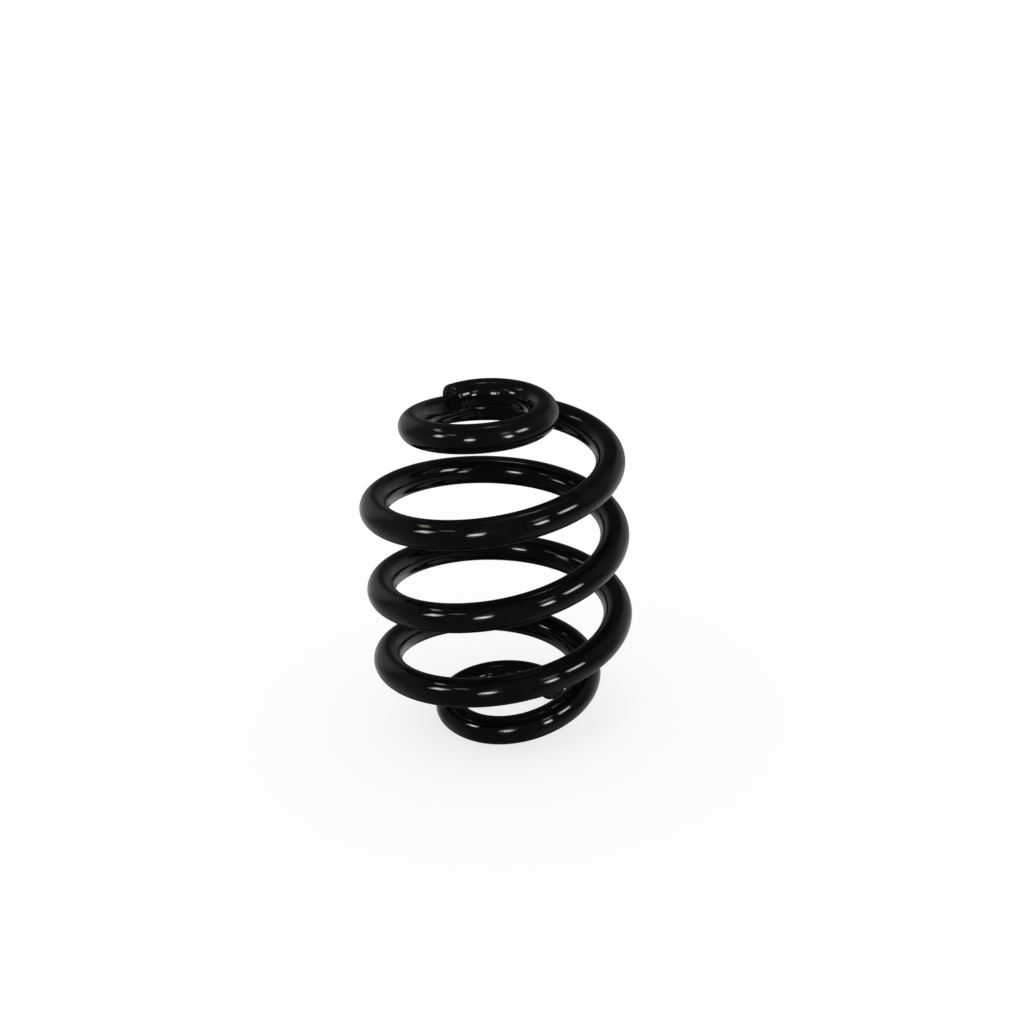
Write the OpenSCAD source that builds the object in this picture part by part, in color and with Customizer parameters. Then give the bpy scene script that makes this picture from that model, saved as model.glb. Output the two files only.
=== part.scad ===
// Suspension spring of the barrel kind: one round steel wire, coated black, wound
// right-handed. Both ends narrow to small flat seat turns, the upper one lying over
// the turn below it, and the body between them has a wider gap at its middle.
// The origin is the centre of the lower seat, on the plane that the spring stands on.

/* [Wire] */
// Diameter of the wire over its coating
wire_d = 14; // [8:0.5:18]
// Width of the bevel round each cut end
tip_bevel = 0.8; // [0.2:0.1:2]

/* [Body] */
// Turns from tip to tip
total_turns = 5.3; // [4.7:0.05:6]
// Mean diameter of the body turns
body_mean_d = 115; // [100:0.5:150]
// Rise of the body in one turn
body_pitch = 38.6; // [26:0.2:50]
// Extra rise in one turn where the body's gap is widest
wide_gap_rise = 10.5; // [0:0.5:20]
// Turns from the lower tip to the widest gap
wide_gap_turn = 2.78; // [2.2:0.01:3.2]
// Turns over which the wide gap fades out, each way
wide_gap_fade = 0.48; // [0.3:0.01:0.8]

/* [Lower seat] */
// Mean diameter of the lower seat turn
lower_seat_d = 57.5; // [48:0.5:70]
// Turns over which the wire starts to climb from the lower seat
lower_climb = 0.29; // [0.2:0.01:0.6]
// How far the lower tip is tucked in towards the axis
lower_tip_tuck = 3; // [0:0.5:5]
// Direction of the lower tip round the axis, in degrees from +X
lower_tip_angle = 22; // [0:1:359]

/* [Upper seat] */
// Mean diameter of the upper seat turn
upper_seat_d = 53; // [44:0.5:66]
// Turns over which the wire levels out into the upper seat
upper_climb = 0.43; // [0.25:0.01:0.6]
// How far the upper tip springs out from the seat turn
upper_tip_spread = 0.5; // [0:0.5:4]
// How far the upper tip stands above the seat turn
upper_tip_lift = 1.5; // [0:0.5:4]

/* [Both ends] */
// Turns that lie flat at each end
seat_turns = 0.53; // [0.4:0.01:0.8]
// Turns over which each end widens into the body
flare_turns = 0.93; // [0.7:0.01:1.1]
// Turns at each tip that the tuck, spread and lift bend
tip_turns = 0.4; // [0.2:0.01:0.5]

/* [Surface] */
// Rings of the wire's surface in one turn
rings_per_turn = 40; // [24:1:45]
// Sides of each ring
ring_sides = 24; // [12:4:24]

/* [Hidden] */
coating_colour = [0.05, 0.05, 0.06];
wire_r = wire_d / 2;
body_r = body_mean_d / 2;
lower_seat_r = lower_seat_d / 2;
upper_seat_r = upper_seat_d / 2;
upper_seat_start = total_turns - seat_turns;
// Length of each bevel along the wire, in turns
lower_bevel_turns = tip_bevel / (2 * PI * (lower_seat_r - lower_tip_tuck));
upper_bevel_turns = tip_bevel / (2 * PI * (upper_seat_r + upper_tip_spread));
// Rings from the inner edge of one bevel to that of the other, and the last cut face's ring
full_rings = ceil(rings_per_turn * total_turns) + 1;
last_ring = full_rings + 1;
// Small step, in turns, for the direction of the wire
direction_step = 0.001;

// An eased step from 0 to 1 while x runs from 0 to 1
function ease(x) = let (c = min(max(x, 0), 1)) c * c * (3 - 2 * c);

// The area under that step from 0 to x
function ease_area(x) = let (c = min(max(x, 0), 1)) pow(c, 3) - pow(c, 4) / 2 + max(x - 1, 0);

// How much of a tip's bend is reached at a distance from that tip, in turns
function tip_bend(distance) = ease(1 - distance / tip_turns);

// Distance of the wire's centre from the axis, at t turns from the lower tip
function coil_radius(t) =
    body_r
    - (body_r - lower_seat_r) * (1 - ease((t - seat_turns) / flare_turns))
    - (body_r - upper_seat_r) * (1 - ease((upper_seat_start - t) / flare_turns))
    - lower_tip_tuck * tip_bend(t)
    + upper_tip_spread * tip_bend(total_turns - t);

// Height gained by the body's even pitch, easing in and out at the seats
function even_rise(t) =
    body_pitch * lower_climb * ease_area((t - seat_turns) / lower_climb)
    - body_pitch * upper_climb * ease_area((t - upper_seat_start) / upper_climb + 1);

// Height gained on top of it at the wide gap
function wide_rise(t) =
    let (x = (t - wide_gap_turn) / wide_gap_fade)
    wide_gap_rise * wide_gap_fade * (ease_area(x + 1) - ease_area(x));

// Height of the wire's centre
function coil_height(t) =
    wire_r + even_rise(t) + wide_rise(t) + upper_tip_lift * tip_bend(total_turns - t);

// The wire's centre at t turns from the lower tip
function centre_at(t) =
    let (angle = lower_tip_angle + 360 * t)
    [coil_radius(t) * cos(angle), coil_radius(t) * sin(angle), coil_height(t)];

function unit(v) = v / norm(v);

// The way the wire runs, the side that faces away from the axis, and the upper side
function along_at(t) = unit(centre_at(t + direction_step) - centre_at(t - direction_step));
function outward_at(t) = unit(cross(along_at(t), [0, 0, 1]));
function upward_at(t) = cross(outward_at(t), along_at(t));

// Turn at which a ring stands: rings 0 and last_ring are the cut faces
function ring_turn(i) =
    i == 0 ? 0 :
    i == last_ring ? total_turns :
    let (share = (i - 1) / (full_rings - 1))
    lower_bevel_turns + share * (total_turns - lower_bevel_turns - upper_bevel_turns);

function ring_radius(i) = i == 0 || i == last_ring ? wire_r - tip_bevel : wire_r;

// One ring of surface points, counted from the outward side over the top
function ring_points(i) =
    let (t = ring_turn(i), centre = centre_at(t), outward = outward_at(t), upward = upward_at(t))
    [for (j = [0 : ring_sides - 1])
        let (turn = 360 * j / ring_sides)
        centre + ring_radius(i) * (cos(turn) * outward + sin(turn) * upward)];

// The two triangles between one side of a ring and the next ring
function side_faces(i, j) =
    let (a = i * ring_sides + j, b = i * ring_sides + (j + 1) % ring_sides)
    [[a, b, b + ring_sides], [a, b + ring_sides, a + ring_sides]];

// A round wire swept along the centre line, cut square at both tips
module coil_spring() {
    points = [for (i = [0 : last_ring]) each ring_points(i)];
    walls = [for (i = [0 : last_ring - 1], j = [0 : ring_sides - 1]) each side_faces(i, j)];
    lower_cut = [for (j = [ring_sides - 1 : -1 : 0]) j];
    upper_cut = [for (j = [0 : ring_sides - 1]) last_ring * ring_sides + j];
    color(coating_colour)
        polyhedron(points, concat([lower_cut], walls, [upper_cut]), convexity = 10);
}

coil_spring();
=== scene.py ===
"""Dresses the suspension spring: a barrel-shaped coil of round steel wire under a black gloss coat.

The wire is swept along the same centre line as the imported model, in metres, with finer
steps, cut ends with the marks of the shear, and a coat that shows its flow. The studio
round it is a white room with a pale floor and one soft light overhead. The gloss sees
small softboxes and black flags instead, and the white room where the flags are thin.
"""
import logging
import math
from dataclasses import dataclass, field
from enum import Enum
from typing import Any, Iterable, Optional, Union

import bmesh
import bpy
from mathutils import Matrix, Quaternion, Vector, noise


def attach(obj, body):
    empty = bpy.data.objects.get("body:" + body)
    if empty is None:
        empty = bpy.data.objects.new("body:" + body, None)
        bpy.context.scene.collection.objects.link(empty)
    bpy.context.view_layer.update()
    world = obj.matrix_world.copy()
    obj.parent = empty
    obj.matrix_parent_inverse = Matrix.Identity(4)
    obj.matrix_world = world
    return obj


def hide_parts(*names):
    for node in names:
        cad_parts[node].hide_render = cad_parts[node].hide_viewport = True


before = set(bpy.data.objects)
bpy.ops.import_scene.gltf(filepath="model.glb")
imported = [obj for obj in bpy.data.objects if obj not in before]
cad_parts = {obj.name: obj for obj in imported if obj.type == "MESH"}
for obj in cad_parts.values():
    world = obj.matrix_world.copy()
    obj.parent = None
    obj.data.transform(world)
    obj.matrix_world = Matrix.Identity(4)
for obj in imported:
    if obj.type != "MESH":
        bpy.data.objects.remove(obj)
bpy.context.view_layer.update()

MM = 0.001
FULL_TURN = 2.0 * math.pi
Z_AXIS = Vector((0.0, 0.0, 1.0))

Key = Union[int, str]
Triple = tuple[float, float, float]
Colour = tuple[float, float, float]
WHITE: Colour = (1.0, 1.0, 1.0)
BLACK: Colour = (0.0, 0.0, 0.0)

# Sockets of a Mix node set to colours, by number, as several of them share a name
MIX_FACTOR = 0
MIX_A = 6
MIX_B = 7
MIX_RESULT = 2

log = logging.getLogger("suspension_spring")


def ease(x: float) -> float:
    """Eased step from 0 to 1 while x runs from 0 to 1."""
    c = min(max(x, 0.0), 1.0)
    return c * c * (3.0 - 2.0 * c)


def ease_area(x: float) -> float:
    """Area under the eased step from 0 to x."""
    c = min(max(x, 0.0), 1.0)
    return c**3 - c**4 / 2.0 + max(x - 1.0, 0.0)


def direction(azimuth: float, elevation: float) -> Vector:
    """Unit vector at an azimuth from +X towards +Y and an elevation, in degrees."""
    turn, rise = math.radians(azimuth), math.radians(elevation)
    return Vector((math.cos(rise) * math.cos(turn), math.cos(rise) * math.sin(turn), math.sin(rise)))


def opaque(colour: Colour) -> tuple[float, float, float, float]:
    """The colour with full alpha, as a colour socket takes it."""
    return (*colour, 1.0)


@dataclass(frozen=True)
class Winding:
    """The centre line of the wire, counted in turns from the lower tip.

    Lengths are in metres. The origin is the centre of the lower seat, on the floor.
    """

    wire_d: float = 14.0 * MM
    total_turns: float = 5.3
    body_mean_d: float = 115.0 * MM
    body_pitch: float = 38.6 * MM
    wide_gap_rise: float = 10.5 * MM
    wide_gap_turn: float = 2.78
    wide_gap_fade: float = 0.48
    lower_seat_d: float = 57.5 * MM
    lower_climb: float = 0.29
    lower_tip_tuck: float = 3.0 * MM
    lower_tip_angle: float = math.radians(22.0)
    upper_seat_d: float = 53.0 * MM
    upper_climb: float = 0.43
    upper_tip_spread: float = 0.5 * MM
    upper_tip_lift: float = 1.5 * MM
    seat_turns: float = 0.53
    flare_turns: float = 0.93
    tip_turns: float = 0.4
    direction_step: float = 0.001

    @property
    def wire_r(self) -> float:
        """Radius of the wire over its coat."""
        return self.wire_d / 2.0

    @property
    def upper_seat_start(self) -> float:
        """Turn at which the upper seat begins."""
        return self.total_turns - self.seat_turns

    def tip_bend(self, distance: float) -> float:
        """How much of a tip's bend is reached at a distance from that tip, in turns."""
        return ease(1.0 - distance / self.tip_turns)

    def radius(self, t: float) -> float:
        """Distance of the wire's centre from the axis.

        Args:
            t: Turns from the lower tip.

        Returns:
            The distance in metres.
        """
        body_r = self.body_mean_d / 2.0
        lower = 1.0 - ease((t - self.seat_turns) / self.flare_turns)
        upper = 1.0 - ease((self.upper_seat_start - t) / self.flare_turns)
        return (
            body_r
            - (body_r - self.lower_seat_d / 2.0) * lower
            - (body_r - self.upper_seat_d / 2.0) * upper
            - self.lower_tip_tuck * self.tip_bend(t)
            + self.upper_tip_spread * self.tip_bend(self.total_turns - t)
        )

    def height(self, t: float) -> float:
        """Height of the wire's centre above the floor.

        Args:
            t: Turns from the lower tip.

        Returns:
            The height in metres.
        """
        lower = self.lower_climb * ease_area((t - self.seat_turns) / self.lower_climb)
        upper = self.upper_climb * ease_area((t - self.upper_seat_start) / self.upper_climb + 1.0)
        x = (t - self.wide_gap_turn) / self.wide_gap_fade
        wide = self.wide_gap_rise * self.wide_gap_fade * (ease_area(x + 1.0) - ease_area(x))
        lift = self.upper_tip_lift * self.tip_bend(self.total_turns - t)
        return self.wire_r + self.body_pitch * (lower - upper) + wide + lift

    def centre(self, t: float) -> Vector:
        """Place of the wire's centre.

        Args:
            t: Turns from the lower tip.

        Returns:
            The place in metres.
        """
        angle = self.lower_tip_angle + FULL_TURN * t
        r = self.radius(t)
        return Vector((r * math.cos(angle), r * math.sin(angle), self.height(t)))

    def section(self, t: float) -> Matrix:
        """Placement of the wire's round section at t turns.

        Args:
            t: Turns from the lower tip.

        Returns:
            A matrix whose X is the upper side, Y the side away from the axis, and Z the
            way the wire runs.
        """
        step = self.direction_step
        along = (self.centre(t + step) - self.centre(t - step)).normalized()
        outward = along.cross(Z_AXIS).normalized()
        upward = outward.cross(along)
        place = Matrix((upward, outward, along)).transposed().to_4x4()
        place.translation = self.centre(t)
        return place


class MeshMark(Enum):
    """Names of the attributes that the coat's patterns read from the mesh."""

    STRAIGHT = "straight_wire"
    CUT = "cut_face"
    GRIT = "gritty_coat"
    LUMPS = "lumpy_coat"


@dataclass(frozen=True)
class Grain:
    """A noise pattern: features a metre, how many finer layers, and how strong those are."""

    scale: float
    detail: float = 2.0
    roughness: float = 0.5


class Wrapped:
    """A socket in Python arithmetic: an expression on it adds the Math nodes that work it out."""

    def __init__(self, kit: "Shader", socket: Optional[bpy.types.NodeSocket]) -> None:
        """Keeps the shader that the nodes are added to, and the socket, if the node has one."""
        self.kit = kit
        self.socket = socket

    def _math(self, operation: str, a: "Value", b: "Value") -> "Wrapped":
        """One Math node on two values."""
        return self.kit.add("ShaderNodeMath", {"operation": operation}, {0: a, 1: b})

    def __add__(self, other: "Value") -> "Wrapped":
        """Sum."""
        return self._math("ADD", self, other)

    __radd__ = __add__

    def __sub__(self, other: "Value") -> "Wrapped":
        """Difference."""
        return self._math("SUBTRACT", self, other)

    def __rsub__(self, other: "Value") -> "Wrapped":
        """Difference from a number."""
        return self._math("SUBTRACT", other, self)

    def __mul__(self, other: "Value") -> "Wrapped":
        """Product."""
        return self._math("MULTIPLY", self, other)

    __rmul__ = __mul__

    def __abs__(self) -> "Wrapped":
        """Size without its sign."""
        return self.kit.add("ShaderNodeMath", {"operation": "ABSOLUTE"}, {0: self})

    def mask(self, none: float, full: float) -> "Wrapped":
        """Smooth mask that is 0 where the value is none, and 1 where it is full."""
        return self.kit.add(
            "ShaderNodeMapRange",
            {"interpolation_type": "SMOOTHSTEP"},
            {"Value": self, "From Min": none, "From Max": full},
        )


Value = Union[Wrapped, float]


class Shader:
    """The nodes of one material or world."""

    def __init__(self, owner: Union[bpy.types.Material, bpy.types.World]) -> None:
        """Clears the owner's node tree.

        Args:
            owner: The material or world that the nodes belong to.
        """
        owner.use_nodes = True
        self.tree = owner.node_tree
        self.tree.nodes.clear()

    def add(self, kind: str, settings: dict[str, Any], inputs: dict[Key, Any], output: Key = 0) -> Wrapped:
        """Adds one node.

        Args:
            kind: The node's type.
            settings: Its settings, set first.
            inputs: The values or links of its sockets, by name or number.
            output: The output that is wanted, by name or number.

        Returns:
            That output, or an empty one for a node that ends the tree.
        """
        node = self.tree.nodes.new(kind)
        for name, value in settings.items():
            setattr(node, name, value)
        for key, value in inputs.items():
            if isinstance(value, Wrapped):
                self.tree.links.new(value.socket, node.inputs[key])
            else:
                node.inputs[key].default_value = value
        return Wrapped(self, node.outputs[output] if node.outputs else None)

    def mark(self, mark: MeshMark, output: str = "Fac") -> Wrapped:
        """What the mesh carries under a mark."""
        return self.add("ShaderNodeAttribute", {"attribute_name": mark.value}, {}, output)

    def noise(self, place: Wrapped, grain: Grain) -> Wrapped:
        """Noise from 0 to 1 in a grain."""
        shape = {"Scale": grain.scale, "Detail": grain.detail, "Roughness": grain.roughness}
        return self.add("ShaderNodeTexNoise", {}, {"Vector": place, **shape})

    def stretch(self, place: Wrapped, factors: Triple) -> Wrapped:
        """A place with each of its axes multiplied."""
        return self.add("ShaderNodeVectorMath", {"operation": "MULTIPLY"}, {0: place, 1: factors})

    def mix(self, mask: Value, a: Any, b: Any) -> Wrapped:
        """Colour a where the mask is 0 and b where it is 1."""
        inputs = {MIX_FACTOR: mask, MIX_A: a, MIX_B: b}
        return self.add("ShaderNodeMix", {"data_type": "RGBA"}, inputs, MIX_RESULT)

    def bump(self, height: Wrapped) -> Wrapped:
        """A normal from a height in metres."""
        return self.add("ShaderNodeBump", {}, {"Height": height, "Distance": 1.0, "Strength": 1.0})


@dataclass(frozen=True)
class GlossCoat:
    """The black gloss coat: how deep its colour is, and how it flowed.

    Depths are metres. A mask gives the values of its noise where it starts and where it is
    whole. Haze is where the gloss is duller, flow and peel are the soft waves of the coat,
    draw the streaks along the wire, and patches the places with some grit and lumps.
    Creases cross the cut faces.
    """

    name: str = "black_gloss_coat"
    black: Colour = (0.0018, 0.0019, 0.0025)
    worn_black: Colour = (0.0034, 0.0034, 0.0037)
    cut_black: Colour = (0.0018, 0.0017, 0.0017)
    gloss: float = 0.05
    dull_gloss: float = 0.14
    cut_roughness: float = 0.30
    ior: float = 1.4
    haze: Grain = Grain(60.0, detail=3.0)
    haze_mask: tuple[float, float] = (0.42, 0.68)
    flow: Grain = Grain(170.0, detail=1.0)
    flow_depth: float = 0.026 * MM
    peel: Grain = Grain(620.0)
    peel_depth: float = 0.008 * MM
    draw: Grain = Grain(1300.0, detail=1.0)
    draw_stretch: Triple = (0.025, 1.0, 1.0)
    draw_depth: float = 0.009 * MM
    grit: Grain = Grain(2100.0, detail=1.0)
    grit_depth: float = 0.036 * MM
    lumps: Grain = Grain(300.0)
    lump_depth: float = 0.26 * MM
    patches: Grain = Grain(48.0, detail=1.0)
    patch_mask: tuple[float, float] = (0.60, 0.68)
    patch_share: float = 0.16
    creases: Grain = Grain(230.0, roughness=0.6)
    crease_bottom: float = 0.5
    crease_depth: float = 1.9 * MM

    def make(self) -> bpy.types.Material:
        """Builds the material.

        Returns:
            The coat, reading the object's own places and the mesh's marks.
        """
        material = bpy.data.materials.new(self.name)
        kit = Shader(material)
        place = kit.add("ShaderNodeTexCoord", {}, {}, "Object")
        straight = kit.mark(MeshMark.STRAIGHT, "Vector")
        cut = kit.mark(MeshMark.CUT)

        haze = kit.noise(place, self.haze).mask(*self.haze_mask)
        flow = kit.noise(place, self.flow)
        peel = kit.noise(place, self.peel)
        draw = kit.noise(kit.stretch(straight, self.draw_stretch), self.draw)
        patches = kit.noise(place, self.patches).mask(*self.patch_mask) * self.patch_share
        grit = kit.noise(place, self.grit) * (kit.mark(MeshMark.GRIT) + patches)
        lumps = kit.noise(place, self.lumps) * (kit.mark(MeshMark.LUMPS) + patches)
        creases = abs(kit.noise(place, self.creases) - self.crease_bottom) * cut

        height = flow * self.flow_depth + peel * self.peel_depth + draw * self.draw_depth
        height = height + grit * self.grit_depth + lumps * self.lump_depth + creases * self.crease_depth

        skin = kit.mix(haze, opaque(self.black), opaque(self.worn_black))
        colour = kit.mix(cut, skin, opaque(self.cut_black))
        skin_roughness = self.gloss + (self.dull_gloss - self.gloss) * haze * peel
        roughness = skin_roughness * (1.0 - cut) + self.cut_roughness * cut
        surface = kit.add(
            "ShaderNodeBsdfPrincipled",
            {},
            {"Base Color": colour, "Roughness": roughness, "Normal": kit.bump(height), "IOR": self.ior},
        )
        kit.add("ShaderNodeOutputMaterial", {}, {"Surface": surface})
        return material


@dataclass(frozen=True)
class CoatFlaw:
    """A stretch of wire where the coat didn't settle smoothly.

    Turn is its middle, counted as the winding's turns, and reach is how far it fades out
    each way. Grit and lumps say how strong either is, from 0 to 1. Steepness says how fast
    it sets in: above 1 the flaw is whole for a stretch round its middle.
    """

    turn: float
    reach: float
    grit: float
    lumps: float
    steepness: float = 1.5

    def share(self, t: float) -> float:
        """How much of the flaw is there at t turns."""
        return ease(self.steepness * (1.0 - abs(t - self.turn) / self.reach))


@dataclass
class CoilSpring:
    """The whole spring: one wire with a cut face at each tip.

    Rim is the radius of the rounded edge of each cut face. The tip is every point that
    lies less than tip_reach rims beside the cut face and tip_depth rims along the wire,
    and its flat is less than flat_depth rims deep. The look of the cut comes in from
    cut_edge_share at the face's edge. Its relief is level where the noise is
    cut_relief_level, and sinks below the face where the noise is lower.
    """

    winding: Winding = field(default_factory=Winding)
    coat: GlossCoat = field(default_factory=GlossCoat)
    sides: int = 64
    sections_per_turn: int = 120
    rim: float = 0.8 * MM
    rim_segments: int = 4
    cut_rings: int = 8
    cut_relief: float = 0.35 * MM
    cut_relief_scale: float = 300.0
    cut_relief_level: float = 0.3
    cut_edge_share: float = 0.4
    tip_reach: float = 2.0
    tip_depth: float = 1.5
    flat_depth: float = 0.1
    flaws: tuple[CoatFlaw, ...] = (
        CoatFlaw(turn=0.690, reach=0.050, grit=1.0, lumps=0.0),
        CoatFlaw(turn=4.640, reach=0.035, grit=0.25, lumps=0.0),
        CoatFlaw(turn=5.130, reach=0.085, grit=0.2, lumps=1.0),
        CoatFlaw(turn=5.285, reach=0.030, grit=0.2, lumps=0.5),
    )

    def build(self) -> bpy.types.Object:
        """Sweeps the wire, finishes both tips and coats it.

        Returns:
            The spring's object, at the origin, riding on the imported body.
        """
        bm = bmesh.new()
        run = self._sweep(bm)
        self._cut_tips(bm, run)
        bmesh.ops.recalc_face_normals(bm, faces=bm.faces)
        mesh = bpy.data.meshes.new("wound_wire")
        bm.to_mesh(mesh)
        bm.free()
        mesh.shade_smooth()
        mesh.materials.append(self.coat.make())
        spring = bpy.data.objects.new("wound_wire", mesh)
        bpy.context.collection.objects.link(spring)
        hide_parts("coil_spring")
        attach(spring, "root")
        return spring

    def _sweep(self, bm: bmesh.types.BMesh) -> float:
        """Extrudes a circle from section to section along the winding.

        Args:
            bm: The empty mesh that receives the tube, open at both ends.

        Returns:
            The length of the wire.
        """
        for mark in (MeshMark.GRIT, MeshMark.LUMPS, MeshMark.CUT):
            bm.verts.layers.float.new(mark.value)
        bm.verts.layers.float_vector.new(MeshMark.STRAIGHT.value)
        count = math.ceil(self.sections_per_turn * self.winding.total_turns)
        here = self.winding.section(0.0)
        run = 0.0
        made = bmesh.ops.create_circle(bm, segments=self.sides, radius=self.winding.wire_r, matrix=here)
        ring = list(bm.edges)
        self._mark(bm, made["verts"], 0.0, run)
        for index in range(1, count + 1):
            t = self.winding.total_turns * index / count
            there = self.winding.section(t)
            run += (there.translation - here.translation).length
            made = bmesh.ops.extrude_edge_only(bm, edges=ring)
            verts = [part for part in made["geom"] if isinstance(part, bmesh.types.BMVert)]
            bmesh.ops.transform(bm, matrix=there @ here.inverted(), verts=verts)
            self._mark(bm, verts, t, run)
            moved = set(verts)
            ring = [
                part for part in made["geom"]
                if isinstance(part, bmesh.types.BMEdge) and set(part.verts) <= moved
            ]
            here = there
        return run

    def _mark(self, bm: bmesh.types.BMesh, verts: Iterable[bmesh.types.BMVert], t: float, run: float) -> None:
        """Writes on vertices what the coat's patterns read.

        Args:
            bm: The mesh.
            verts: The vertices, which stand at or near one section.
            t: That section's turn.
            run: Length of wire up to the section.
        """
        straight = bm.verts.layers.float_vector[MeshMark.STRAIGHT.value]
        grit = bm.verts.layers.float[MeshMark.GRIT.value]
        lumps = bm.verts.layers.float[MeshMark.LUMPS.value]
        gritty = max(flaw.share(t) * flaw.grit for flaw in self.flaws)
        lumpy = max(flaw.share(t) * flaw.lumps for flaw in self.flaws)
        back = self.winding.section(t).inverted()
        for vert in verts:
            local = back @ vert.co
            vert[straight] = (run + local.z, local.x, local.y)
            vert[grit] = gritty
            vert[lumps] = lumpy

    def _cut_tips(self, bm: bmesh.types.BMesh, run: float) -> None:
        """Closes both ends with a sheared face inside a rounded rim.

        Args:
            bm: The open tube.
            run: The length of the wire.
        """
        open_edges = [edge for edge in bm.edges if edge.is_boundary]
        caps = bmesh.ops.holes_fill(bm, edges=open_edges, sides=self.sides)["faces"]
        rims = [edge for face in caps for edge in face.edges]
        bmesh.ops.bevel(
            bm, geom=rims, offset=self.rim, offset_type="OFFSET", segments=self.rim_segments,
            profile=0.5, affect="EDGES", material=-1,
        )
        lower_tip = self.winding.centre(0.0)
        for face in [face for face in bm.faces if len(face.verts) == self.sides]:
            at_start = (face.calc_center_median() - lower_tip).length < self.winding.wire_r
            t, done = (0.0, 0.0) if at_start else (self.winding.total_turns, run)
            self._shear(bm, face, t, done)

    def _shear(self, bm: bmesh.types.BMesh, face: bmesh.types.BMFace, t: float, run: float) -> None:
        """Gives one cut face its relief, and marks the tip for the coat's patterns.

        Args:
            bm: The mesh.
            face: The flat face of the cut, in one piece.
            t: The tip's turn.
            run: Length of wire up to the tip.
        """
        cut = bm.verts.layers.float[MeshMark.CUT.value]
        normal = face.normal.copy()
        centre = face.calc_center_median()
        reach = max((vert.co - centre).length for vert in face.verts)
        for _ in range(self.cut_rings):
            bmesh.ops.inset_individual(bm, faces=[face], thickness=reach / (self.cut_rings + 1))
        bmesh.ops.poke(bm, faces=[face])
        beside = reach + self.rim * self.tip_reach
        tip = [vert for vert in bm.verts if (vert.co - centre).length < beside]
        tip = [vert for vert in tip if abs((vert.co - centre).dot(normal)) < self.rim * self.tip_depth]
        self._mark(bm, tip, t, run)
        for vert in tip:
            away = vert.co - centre
            if abs(away.dot(normal)) > self.rim * self.flat_depth:
                continue
            vert[cut] = min(max((reach - away.length) / self.rim + self.cut_edge_share, 0.0), 1.0)
            lump = noise.noise(vert.co * self.cut_relief_scale)
            vert.co += normal * (lump - self.cut_relief_level) * self.cut_relief * vert[cut]
        log.info("cut face at %s", [round(v, 4) for v in centre])


@dataclass(frozen=True)
class PhotoCamera:
    """The camera, where the photograph was taken from.

    Pixels are those of the photograph, angles are degrees and lengths are metres. Aim is
    the place that shows at aim_px, at a depth in front of the camera.
    """

    image_px: float = 1024.0
    focal_px: float = 1916.08
    sensor_mm: float = 36.0
    elevation: float = 24.696
    roll: float = -3.538
    depth: float = 0.93175
    aim: Vector = field(default_factory=lambda: Vector((0.0, 0.0, 0.0907)))
    aim_px: tuple[float, float] = (497.06, 551.10)
    clip: tuple[float, float] = (0.05, 60.0)

    def place(self) -> None:
        """Makes the camera and sets it as the scene's."""
        elevation = math.radians(self.elevation)
        roll = math.radians(self.roll)
        level = Vector((1.0, 0.0, 0.0))
        upright = Vector((0.0, math.sin(elevation), math.cos(elevation)))
        forward = Vector((0.0, math.cos(elevation), -math.sin(elevation)))
        right = level * math.cos(roll) + upright * math.sin(roll)
        up = upright * math.cos(roll) - level * math.sin(roll)
        metres_a_px = self.depth / self.focal_px
        across = (self.aim_px[0] - self.image_px / 2.0) * metres_a_px
        down = (self.aim_px[1] - self.image_px / 2.0) * metres_a_px
        place = Matrix((right, up, -forward)).transposed().to_4x4()
        place.translation = self.aim - forward * self.depth - right * across + up * down
        data = bpy.data.cameras.new("photo_camera")
        data.sensor_width = self.sensor_mm
        data.lens = self.focal_px / self.image_px * self.sensor_mm
        data.clip_start, data.clip_end = self.clip
        camera = bpy.data.objects.new("photo_camera", data)
        camera.matrix_world = place
        bpy.context.collection.objects.link(camera)
        bpy.context.scene.camera = camera


def studio_object(name: str, bm: bmesh.types.BMesh, material: bpy.types.Material) -> bpy.types.Object:
    """Puts a studio object in the scene.

    Args:
        name: The object's name.
        bm: Its shape, which is used up.
        material: Its material.

    Returns:
        The object, which is no part of the spring.
    """
    mesh = bpy.data.meshes.new(name)
    bm.to_mesh(mesh)
    bm.free()
    mesh.materials.append(material)
    thing = bpy.data.objects.new(name, mesh)
    bpy.context.collection.objects.link(thing)
    return thing


def show_in_gloss_only(thing: bpy.types.Object) -> None:
    """Hides a studio object from all rays but those of glossy reflections."""
    for rays in ("camera", "diffuse", "transmission", "volume_scatter", "shadow"):
        setattr(thing, f"visible_{rays}", False)


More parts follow.
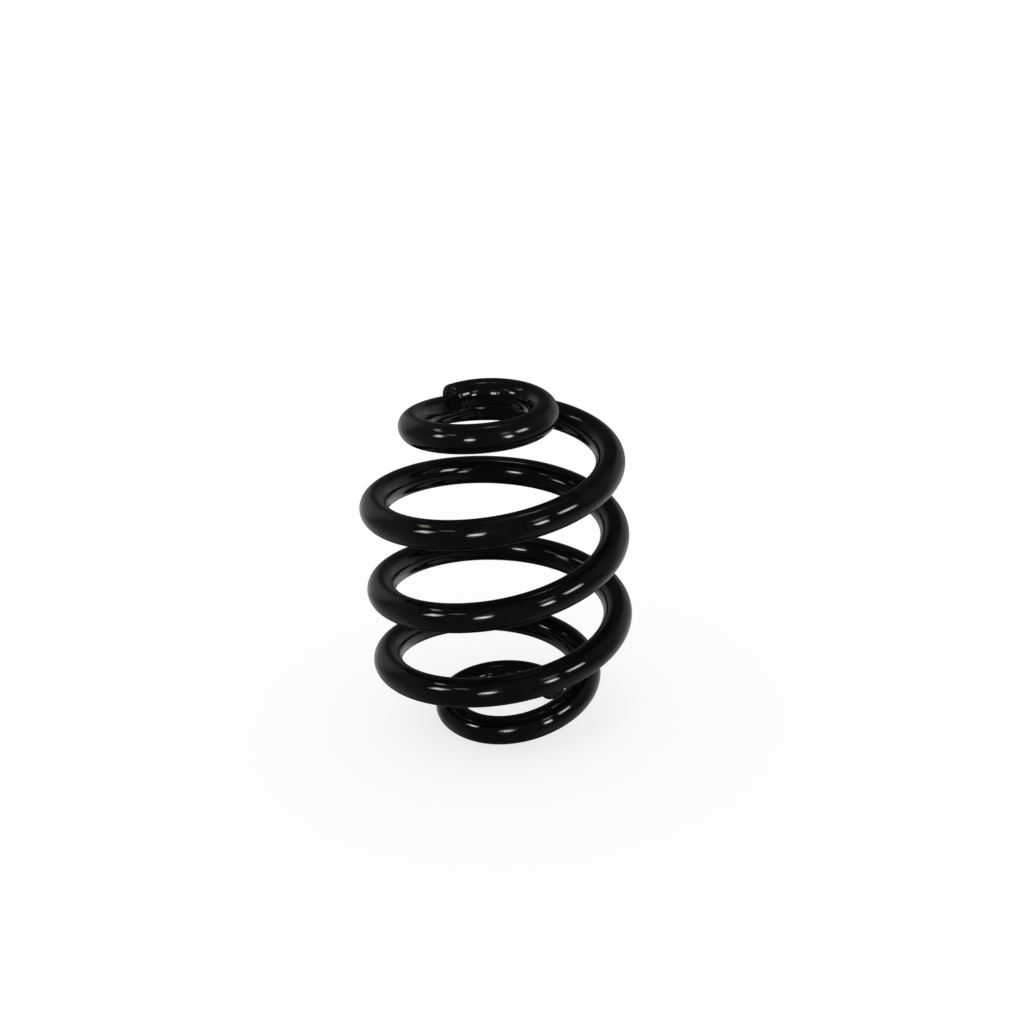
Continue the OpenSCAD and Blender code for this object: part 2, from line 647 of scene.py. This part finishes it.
@dataclass(frozen=True)
class Softbox:
    """A glowing panel, brightest at its middle, that shows in the gloss of the coat.

    Its place and its size are angles seen from the spring, in degrees, and lean is how
    far its top tips over towards a larger azimuth. Radiance 1 is white, and rim_share is
    the part of it that is left near the rim. The rim is soft, and starts to fade at
    soft_rim on the way from the middle, 0, to the edge, 1. Distance is metres.
    """

    name: str
    azimuth: float
    elevation: float
    width: float
    height: float
    radiance: float
    lean: float = 0.0
    rim_share: float = 0.35
    colour: Colour = WHITE
    distance: float = 1.5
    soft_rim: float = 0.75

    def hang(self, target: Vector) -> None:
        """Puts the panel in the scene.

        Args:
            target: The place that it faces.
        """
        way = direction(self.azimuth, self.elevation)
        width, height = self._span(self.width), self._span(self.height)
        facing = way.to_track_quat("Z", "Y") @ Quaternion(Z_AXIS, math.radians(self.lean))
        place = Matrix.LocRotScale(target + way * self.distance, facing, Vector((width, height, 1.0)))
        bm = bmesh.new()
        bm.loops.layers.uv.verify()
        # Size counts from the middle, so this is a square with sides of 1 before it is placed
        bmesh.ops.create_grid(bm, x_segments=1, y_segments=1, size=0.5, matrix=place, calc_uvs=True)
        show_in_gloss_only(studio_object(self.name, bm, self._glow()))

    def _span(self, angle: float) -> float:
        """Length of a side that is seen under an angle."""
        return 2.0 * self.distance * math.tan(math.radians(angle / 2.0))

    def _glow(self) -> bpy.types.Material:
        """Builds the panel's light, which fades from its middle to its edges.

        Returns:
            The material, clear where it doesn't glow.
        """
        material = bpy.data.materials.new(self.name)
        kit = Shader(material)
        across = kit.add("ShaderNodeTexCoord", {}, {}, "UV")
        u = kit.add("ShaderNodeSeparateXYZ", {}, {0: across}, "X")
        v = kit.add("ShaderNodeSeparateXYZ", {}, {0: across}, "Y")
        # Both are 0 at the middle of the panel and 1 at its edges
        aside, aloft = abs(u * 2.0 - 1.0), abs(v * 2.0 - 1.0)
        middle = aside.mask(1.0, 0.0) * aloft.mask(1.0, 0.0)
        panel = aside.mask(1.0, self.soft_rim) * aloft.mask(1.0, self.soft_rim)
        light = panel * (middle * (1.0 - self.rim_share) + self.rim_share) * self.radiance
        glow = kit.add("ShaderNodeEmission", {}, {"Color": opaque(self.colour), "Strength": light})
        clear = kit.add("ShaderNodeBsdfTransparent", {}, {})
        surface = kit.add("ShaderNodeAddShader", {}, {0: glow, 1: clear})
        kit.add("ShaderNodeOutputMaterial", {}, {"Surface": surface})
        return material


@dataclass(frozen=True)
class Glow:
    """A place where the black flags are thin and the pale room shows through.

    Azimuth and elevation give its middle, seen from the spring, and reach the angle over
    which it fades out, all in degrees. Level 1 lets everything through.
    """

    azimuth: float
    elevation: float
    reach: float
    level: float

    def shine(self, kit: Shader, way: Wrapped) -> Wrapped:
        """Its brightness at a direction.

        Args:
            kit: The shader of the flags.
            way: The direction, as a unit vector.

        Returns:
            The level, fading out smoothly from the middle.
        """
        centre = direction(self.azimuth, self.elevation)
        nearness = kit.add("ShaderNodeVectorMath", {"operation": "DOT_PRODUCT"}, {0: way, 1: centre}, "Value")
        return nearness.mask(math.cos(math.radians(self.reach)), 1.0) * self.level


@dataclass
class Studio:
    """The pale floor, the soft overhead light, the softboxes, the black flags and the room.

    Lengths are metres, and target is the middle of the spring. Floor_whiteness is the
    share of plain white in the floor for rays that show a background, and room_light the
    strength of the room for all other rays. Flag_thinness is the light that the flags let
    through everywhere.
    """

    target: Vector = field(default_factory=lambda: Vector((0.0, 0.0, 0.085)))
    floor_radius: float = 40.0
    floor_sides: int = 96
    floor_colour: Colour = (0.985, 0.985, 0.985)
    floor_whiteness: float = 0.78
    overhead_irradiance: float = 0.62 * math.pi
    overhead_angle: float = math.radians(120.0)
    overhead_height: float = 2.0
    room_light: float = 0.38
    flag_distance: float = 3.0
    flag_subdivisions: int = 5
    flag_tint: Colour = (1.0, 0.98, 0.96)
    flag_thinness: float = 0.05
    glows: tuple[Glow, ...] = (
        # Azimuth, elevation, reach and level
        Glow(270.0, 0.0, 115.0, 0.055),
        Glow(31.0, -28.0, 44.0, 0.25),
        Glow(38.0, -29.0, 26.0, 0.34),
        Glow(69.0, -31.0, 19.0, 0.43),
        Glow(73.0, 0.0, 26.0, 0.11),
        Glow(42.0, 4.0, 34.0, 0.28),
        Glow(118.0, -20.0, 18.0, 0.32),
        Glow(122.0, -18.0, 32.0, 0.20),
        Glow(124.0, 10.0, 28.0, 0.26),
        Glow(152.0, -31.0, 30.0, 0.18),
        Glow(169.0, -26.0, 46.0, 0.08),
        Glow(180.0, -4.0, 35.0, 0.06),
        Glow(342.0, -40.0, 40.0, 0.22),
        Glow(85.0, 74.0, 18.0, 0.16),
        Glow(14.0, 26.0, 40.0, 0.12),
        Glow(148.0, 22.0, 38.0, 0.08),
    )
    softboxes: tuple[Softbox, ...] = (
        # Name, azimuth, elevation, width, height and radiance
        Softbox("right_window", 328.5, 28.5, 18.0, 17.0, 19.0, rim_share=0.4),
        Softbox("front_right_window", 304.5, 11.0, 12.0, 17.0, 27.0, lean=15.0),
        Softbox("front_window", 251.0, 17.0, 16.0, 17.0, 27.0, rim_share=0.25),
        Softbox("left_window", 199.0, 31.0, 15.0, 16.5, 23.0, rim_share=0.22),
        Softbox("left_lamp", 212.0, 46.5, 14.0, 6.0, 4.5, rim_share=0.4, colour=(1.0, 0.88, 0.70)),
        Softbox("rear_left_lamp", 157.0, 52.0, 20.0, 5.5, 5.5, rim_share=0.5, colour=(1.0, 0.89, 0.73)),
        Softbox("front_right_lamp", 304.0, 39.0, 15.0, 8.0, 4.2, lean=15.0, colour=(1.0, 0.97, 0.78)),
        Softbox("front_right_strip", 305.0, 20.0, 14.0, 76.0, 0.9, lean=8.0, rim_share=0.0),
        Softbox("front_strip", 251.0, 18.0, 15.0, 66.0, 0.9, rim_share=0.0),
        Softbox("overhead_strip", 80.0, 74.0, 10.0, 10.0, 3.0),
    )

    def build(self) -> None:
        """Lays the floor, hangs the lamps and the flags, and sets the room."""
        self._floor()
        self._overhead()
        self._flags()
        for softbox in self.softboxes:
            softbox.hang(self.target)
        self._room()
        bpy.context.scene.view_settings.view_transform = "Standard"

    @staticmethod
    def _seen(kit: Shader) -> Wrapped:
        """Finds the rays that show a background: camera, glossy and transmission rays.

        Args:
            kit: The shader of the floor or the room.

        Returns:
            A mask that is 1 for these rays.
        """
        camera = kit.add("ShaderNodeLightPath", {}, {}, "Is Camera Ray")
        glossy = kit.add("ShaderNodeLightPath", {}, {}, "Is Glossy Ray")
        transmission = kit.add("ShaderNodeLightPath", {}, {}, "Is Transmission Ray")
        return camera + glossy + transmission

    def _floor(self) -> None:
        """A round pale floor that reaches past every view and keeps the spring's shadow.

        The gloss sees the flags in its place.
        """
        bm = bmesh.new()
        bmesh.ops.create_circle(bm, cap_ends=True, segments=self.floor_sides, radius=self.floor_radius)
        material = bpy.data.materials.new("pale_floor")
        kit = Shader(material)
        paper = kit.add(
            "ShaderNodeBsdfPrincipled",
            {},
            {"Base Color": opaque(self.floor_colour), "Roughness": 1.0, "Specular IOR Level": 0.0},
        )
        white = kit.add("ShaderNodeEmission", {}, {"Color": opaque(WHITE), "Strength": 1.0})
        share = self._seen(kit) * self.floor_whiteness
        surface = kit.add("ShaderNodeMixShader", {}, {0: share, 1: paper, 2: white})
        kit.add("ShaderNodeOutputMaterial", {}, {"Surface": surface})
        floor = studio_object("floor", bm, material)
        floor.visible_glossy = False

    def _overhead(self) -> None:
        """One very wide light from above, which the gloss doesn't show."""
        sun = bpy.data.lights.new("overhead_light", "SUN")
        sun.energy = self.overhead_irradiance
        sun.angle = self.overhead_angle
        lamp = bpy.data.objects.new("overhead_light", sun)
        lamp.location = self.target + Z_AXIS * self.overhead_height
        lamp.visible_glossy = False
        bpy.context.collection.objects.link(lamp)

    def _flags(self) -> None:
        """Black flags all round the spring, which show only in its gloss.

        They keep the front of the coat dark, and let the pale room through where they are
        thin.
        """
        bm = bmesh.new()
        raised = Matrix.Translation(self.target)
        bmesh.ops.create_icosphere(
            bm, subdivisions=self.flag_subdivisions, radius=self.flag_distance, matrix=raised
        )
        material = bpy.data.materials.new("black_flags")
        kit = Shader(material)
        place = kit.add("ShaderNodeTexCoord", {}, {}, "Object")
        away = kit.add("ShaderNodeVectorMath", {"operation": "SUBTRACT"}, {0: place, 1: self.target})
        way = kit.add("ShaderNodeVectorMath", {"operation": "NORMALIZE"}, {0: away})
        thin: Value = self.flag_thinness
        for glow in self.glows:
            thin = glow.shine(kit, way) + thin
        black = kit.add("ShaderNodeBsdfDiffuse", {}, {"Color": opaque(BLACK)})
        clear = kit.add("ShaderNodeBsdfTransparent", {}, {"Color": opaque(self.flag_tint)})
        cloth = kit.add("ShaderNodeMixShader", {}, {0: thin, 1: black, 2: clear})
        kit.add("ShaderNodeOutputMaterial", {}, {"Surface": cloth})
        show_in_gloss_only(studio_object("black_flags", bm, material))

    def _room(self) -> None:
        """A white room, dimmer where it only lights the floor and the spring."""
        world = bpy.data.worlds.new("room")
        bpy.context.scene.world = world
        kit = Shader(world)
        strength = self._seen(kit) * (1.0 - self.room_light) + self.room_light
        surface = kit.add("ShaderNodeBackground", {}, {"Color": opaque(WHITE), "Strength": strength})
        kit.add("ShaderNodeOutputWorld", {}, {"Surface": surface})


def main() -> None:
    """Builds the spring, its camera and its studio."""
    logging.basicConfig(level=logging.INFO, format="%(name)s: %(message)s")
    wire = CoilSpring().build()
    log.info("%s: %d faces", wire.name, len(wire.data.polygons))
    PhotoCamera().place()
    studio = Studio()
    studio.build()
    log.info("studio: floor, overhead light and %d softboxes", len(studio.softboxes))


if __name__ == "__main__":
    main()
